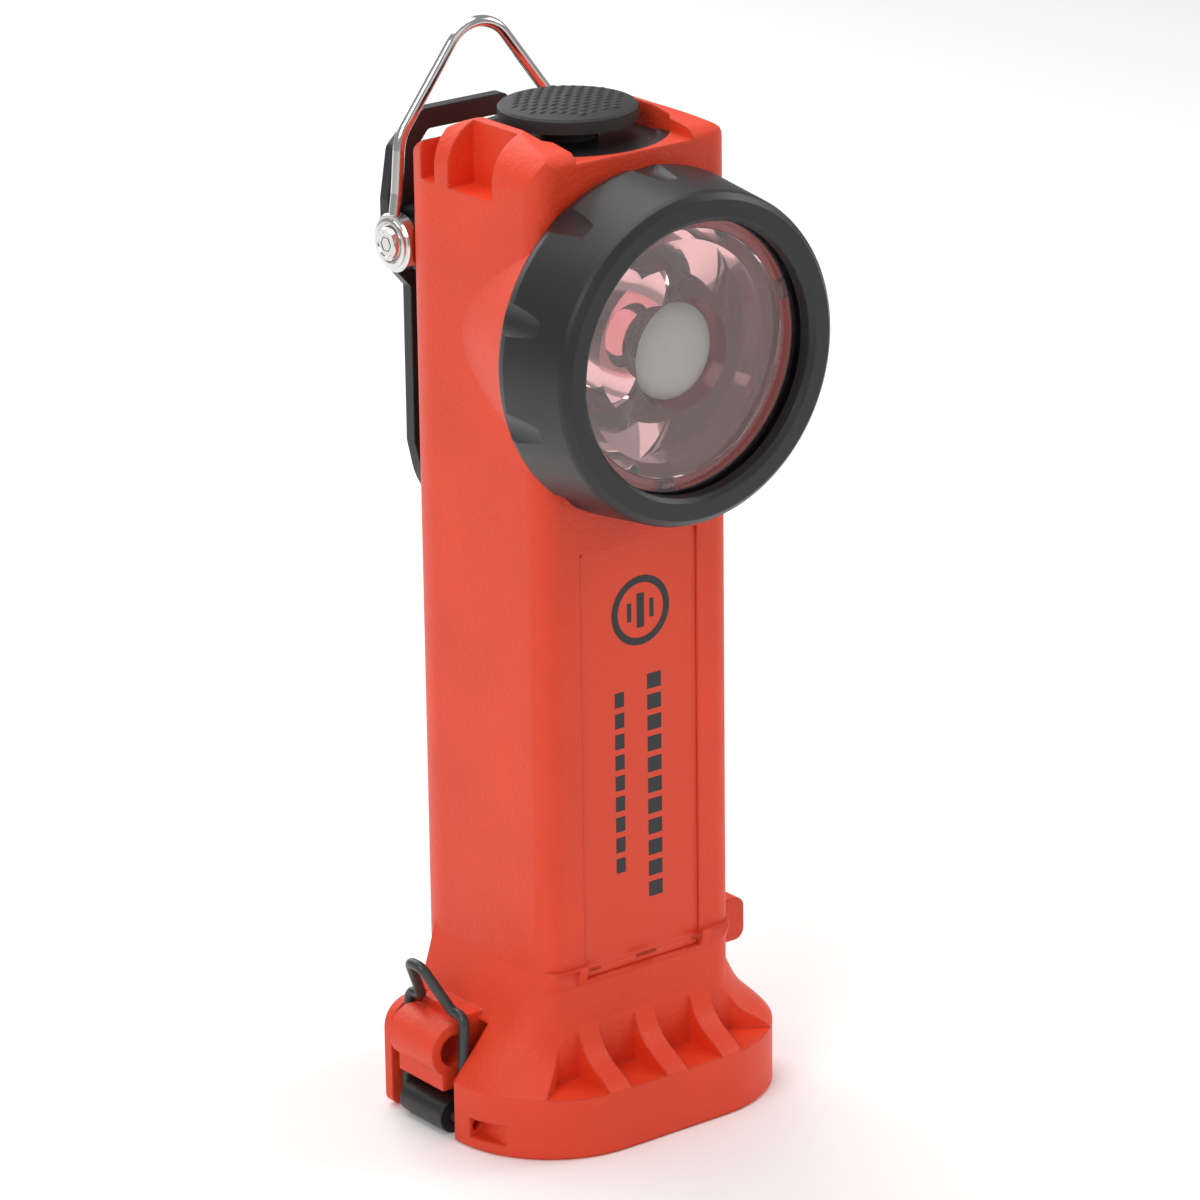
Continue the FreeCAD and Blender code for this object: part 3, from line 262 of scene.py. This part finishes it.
# Rings extruded along Z and resized one after another; each ring is (radius, height) in mm.
# A closed loop of rings starts as an open circle, a solid starts as a disc.
def turnedPiece(name, rings, loop=False, steps=72):
    deselect()
    radius, height = rings[0]
    fill = "NOTHING" if loop else "NGON"
    bpy.ops.mesh.primitive_circle_add(vertices=steps, radius=radius * mm, fill_type=fill,
                                      location=(0, 0, 0))
    piece = bpy.context.object
    piece.name = name
    bpy.ops.object.mode_set(mode="EDIT")
    bpy.ops.mesh.select_all(action="SELECT")
    bpy.ops.transform.translate(value=(0, 0, height * mm))
    for nextRadius, nextHeight in (rings[1:] + rings[:1] if loop else rings[1:]):
        rise = (nextHeight - height) * mm
        bpy.ops.mesh.extrude_region_move(TRANSFORM_OT_translate={"value": (0, 0, rise)})
        scale = nextRadius / radius
        bpy.ops.transform.resize(value=(scale, scale, 1), center_override=(0, 0, nextHeight * mm))
        radius, height = nextRadius, nextHeight
    bpy.ops.mesh.select_all(action="SELECT")
    bpy.ops.mesh.remove_doubles(threshold=0.000001)
    bpy.ops.mesh.normals_make_consistent(inside=False)
    bpy.ops.object.mode_set(mode="OBJECT")
    return piece


def setDown(piece, turn, place):
    deselect()
    piece.select_set(True)
    bpy.context.view_layer.objects.active = piece
    piece.rotation_euler = [math.radians(angle) for angle in turn]
    piece.location = place
    bpy.ops.object.transform_apply(location=True, rotation=True, scale=True)


def finishPiece(piece, finish, body, angle=35):
    deselect()
    piece.select_set(True)
    bpy.context.view_layer.objects.active = piece
    bpy.ops.object.shade_smooth_by_angle(angle=math.radians(angle))
    piece.data.materials.clear()
    piece.data.materials.append(finishes[finish])
    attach(piece, body)


def joined(name, items):
    deselect()
    for item in items:
        item.select_set(True)
    bpy.context.view_layer.objects.active = items[0]
    bpy.ops.object.join()
    items[0].name = name
    return items[0]


# Lens: a pale domed disc in the well of the clear moulding, and small tabs that hold the window

lensDisc = {
    "rings": [(8.3, 28.8), (8.3, 29.3), (7.7, 29.75), (6.2, 30.4), (4.2, 30.95), (2.0, 31.25), (0.4, 31.35)],
}
windowTabs = {"angles": (20, 140, 260), "radius": 22.6, "size": (2.6, 1.0, 3.4), "middle": 32.8, "edge": 0.25}


def buildLens():
    disc = turnedPiece("lensDisc", lensDisc["rings"])
    setDown(disc, (90, 0, 0), (0, 0, headHeight))
    finishPiece(disc, "lensWhite", "housing")
    tabs = []
    for angle in windowTabs["angles"]:
        deselect()
        bpy.ops.mesh.primitive_cube_add(size=1, location=(0, 0, 0))
        tab = bpy.context.object
        tab.scale = [side * mm for side in windowTabs["size"]]
        bpy.ops.object.transform_apply(scale=True)
        bpy.ops.object.mode_set(mode="EDIT")
        bpy.ops.mesh.select_all(action="SELECT")
        bpy.ops.mesh.bevel(offset=windowTabs["edge"] * mm, segments=2, affect="EDGES")
        bpy.ops.object.mode_set(mode="OBJECT")
        turn = math.radians(angle)
        reach = windowTabs["radius"] * mm
        place = (reach * math.cos(turn), -windowTabs["middle"] * mm, headHeight + reach * math.sin(turn))
        setDown(tab, (0, -angle, 0), place)
        tabs.append(tab)
    finishPiece(joined("windowTabs", tabs), "clear", "housing")
    print("lens built")


# Button: rows of small raised ovals, every second row set half a step aside, standing on the dome

buttonOvals = {"reach": 9.6, "stepAcross": 2.3, "stepAlong": 1.25, "half": (0.82, 0.46, 0.26), "sink": 0.04}
buttonMiddle = -3.0 * mm
aboveButton = 0.2


def buildButtonOvals():
    cap = nodes["button_cap"]
    deselect()
    bpy.ops.mesh.primitive_uv_sphere_add(segments=8, ring_count=5, radius=1, location=(0, 0, 0))
    pattern = bpy.context.object
    pattern.scale = [side * mm for side in buttonOvals["half"]]
    bpy.ops.object.transform_apply(scale=True)
    ovals = []
    rows = int(buttonOvals["reach"] / buttonOvals["stepAlong"])
    columns = int(buttonOvals["reach"] / buttonOvals["stepAcross"]) + 1
    for row in range(-rows, rows + 1):
        for column in range(-columns, columns + 1):
            across = (column + 0.5 * (row % 2)) * buttonOvals["stepAcross"]
            along = row * buttonOvals["stepAlong"]
            if math.hypot(across, along) > buttonOvals["reach"]:
                continue
            start = Vector((across * mm, buttonMiddle + along * mm, aboveButton))
            found, spot, normal = cap.ray_cast(start, Vector((0, 0, -1)))[:3]
            if not found:
                continue
            oval = pattern.copy()
            oval.data = pattern.data.copy()
            bpy.context.scene.collection.objects.link(oval)
            lean = normal.to_track_quat("Z", "Y").to_matrix().to_4x4()
            side = lean.to_3x3().transposed() @ Vector((1, 0, 0))
            twist = Matrix.Rotation(math.atan2(side.y, side.x), 4, "Z")
            oval.data.transform(Matrix.Translation(spot - normal * buttonOvals["sink"] * mm) @ lean @ twist)
            ovals.append(oval)
    bpy.data.objects.remove(pattern, do_unlink=True)
    finishPiece(joined("buttonOvals", ovals), "blackButton", "button", 60)
    print("button ovals:", len(ovals))


# Ring eyelets with turned steps, and the pin's hexagon sockets between them; the sockets are shallow
# near-black hexagon plugs, painted shade standing in for the shade inside the socket holes

eyelet = {
    "rings": [(3.02, 16.9), (5.1, 16.9), (5.1, 18.7), (4.85, 18.95), (4.3, 19.0), (4.25, 19.3),
              (4.0, 19.4), (3.5, 19.4), (3.3, 19.15), (3.02, 19.1)],
    "place": (0, 22.0, 152.0),
}
pinEnd = {
    "rings": [(2.9, -20.0), (2.9, 20.0), (2.7, 20.3), (2.2, 20.3), (2.0, 20.1), (1.6, 20.1)],
    "socket": 1.35,
    "socketDepth": 0.3,
    "socketStep": 0.12,
    "socketPlace": 20.05,
}


def buildEyelets():
    place = [value * mm for value in eyelet["place"]]
    pair = []
    for side in (1, -1):
        ring = turnedPiece("eyelet", eyelet["rings"], loop=True)
        setDown(ring, (0, 90 * side, 0), place)
        pair.append(ring)
    steps = joined("eyeletSteps", pair)
    finishPiece(steps, "steel", "ring")
    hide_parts("ring_eyelets")
    rings = pinEnd["rings"]
    mirrored = [(radius, -height) for radius, height in reversed(rings[1:])]
    pin = turnedPiece("pinTurned", mirrored + rings[1:])
    setDown(pin, (0, 90, 0), place)
    finishPiece(pin, "steel", "housing")
    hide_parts("pivot_pin")
    sockets = []
    for side in (1, -1):
        deselect()
        bpy.ops.mesh.primitive_cylinder_add(vertices=6, radius=pinEnd["socket"] * mm,
                                            depth=pinEnd["socketDepth"] * mm, location=(0, 0, 0))
        socket = bpy.context.object
        bpy.ops.object.mode_set(mode="EDIT")
        bpy.ops.mesh.select_all(action="DESELECT")
        bpy.ops.object.mode_set(mode="OBJECT")
        for face in socket.data.polygons:
            face.select = face.normal.z > 0.9
        bpy.ops.object.mode_set(mode="EDIT")
        bpy.ops.mesh.inset(thickness=pinEnd["socketStep"] * mm)
        bpy.ops.transform.translate(value=(0, 0, -pinEnd["socketStep"] * mm))
        bpy.ops.object.mode_set(mode="OBJECT")
        reach = pinEnd["socketPlace"] * mm * side
        setDown(socket, (0, 90 * side, 0), (place[0] + reach, place[1], place[2]))
        sockets.append(socket)
    # the hexagon plugs carry painted shade: near-black where the real sockets are only shaded hollows in the
    # steel
    finishPiece(joined("pinSocketPaintedShade", sockets), "socketPaintedShade", "housing", 20)
    print("eyelets built")


# Plain printed mark on the label panel: a ring with a bar across it, and two rows of short bars

mark = {
    "face": -20.65,
    "thickness": 0.06,
    "ring": {"middle": (0.5, 93.3), "outer": 6.2, "inner": 4.9},
    "lamp": [((0.5, 93.3), (1.6, 6.2)), ((-1.9, 93.3), (0.9, 3.4)), ((2.9, 93.3), (0.9, 3.4))],
    "rows": [{"middle": 3.3, "wide": 3.0, "top": 82.0, "low": 40.0, "bars": 11},
             {"middle": -4.2, "wide": 2.0, "top": 80.0, "low": 46.0, "bars": 9}],
    "barShare": 0.72,
    "edge": 0.02,
}


def markBar(middle, size):
    deselect()
    bpy.ops.mesh.primitive_cube_add(size=1, location=(0, 0, 0))
    bar = bpy.context.object
    bar.scale = (size[0] * mm, mark["thickness"] * mm, size[1] * mm)
    bpy.ops.object.transform_apply(scale=True)
    bpy.ops.object.mode_set(mode="EDIT")
    bpy.ops.mesh.select_all(action="SELECT")
    bpy.ops.mesh.bevel(offset=mark["edge"] * mm, segments=1, affect="EDGES")
    bpy.ops.object.mode_set(mode="OBJECT")
    setDown(bar, (0, 0, 0), (middle[0] * mm, mark["face"] * mm, middle[1] * mm))
    return bar


def buildMark():
    ring = mark["ring"]
    half = mark["thickness"] / 2
    band = turnedPiece("markRing", [(ring["inner"], -half), (ring["outer"], -half), (ring["outer"], half),
                                    (ring["inner"], half)], loop=True)
    setDown(band, (90, 0, 0), (ring["middle"][0] * mm, mark["face"] * mm, ring["middle"][1] * mm))
    items = [band] + [markBar(middle, size) for middle, size in mark["lamp"]]
    for row in mark["rows"]:
        step = (row["top"] - row["low"]) / row["bars"]
        for number in range(row["bars"]):
            height = row["top"] - step * (number + 0.5)
            items.append(markBar((row["middle"], height), (row["wide"], step * mark["barShare"])))
    finishPiece(joined("labelMark", items), "markBlack", "housing", 20)
    print("label mark built")


buildLens()
buildButtonOvals()
buildEyelets()
buildMark()
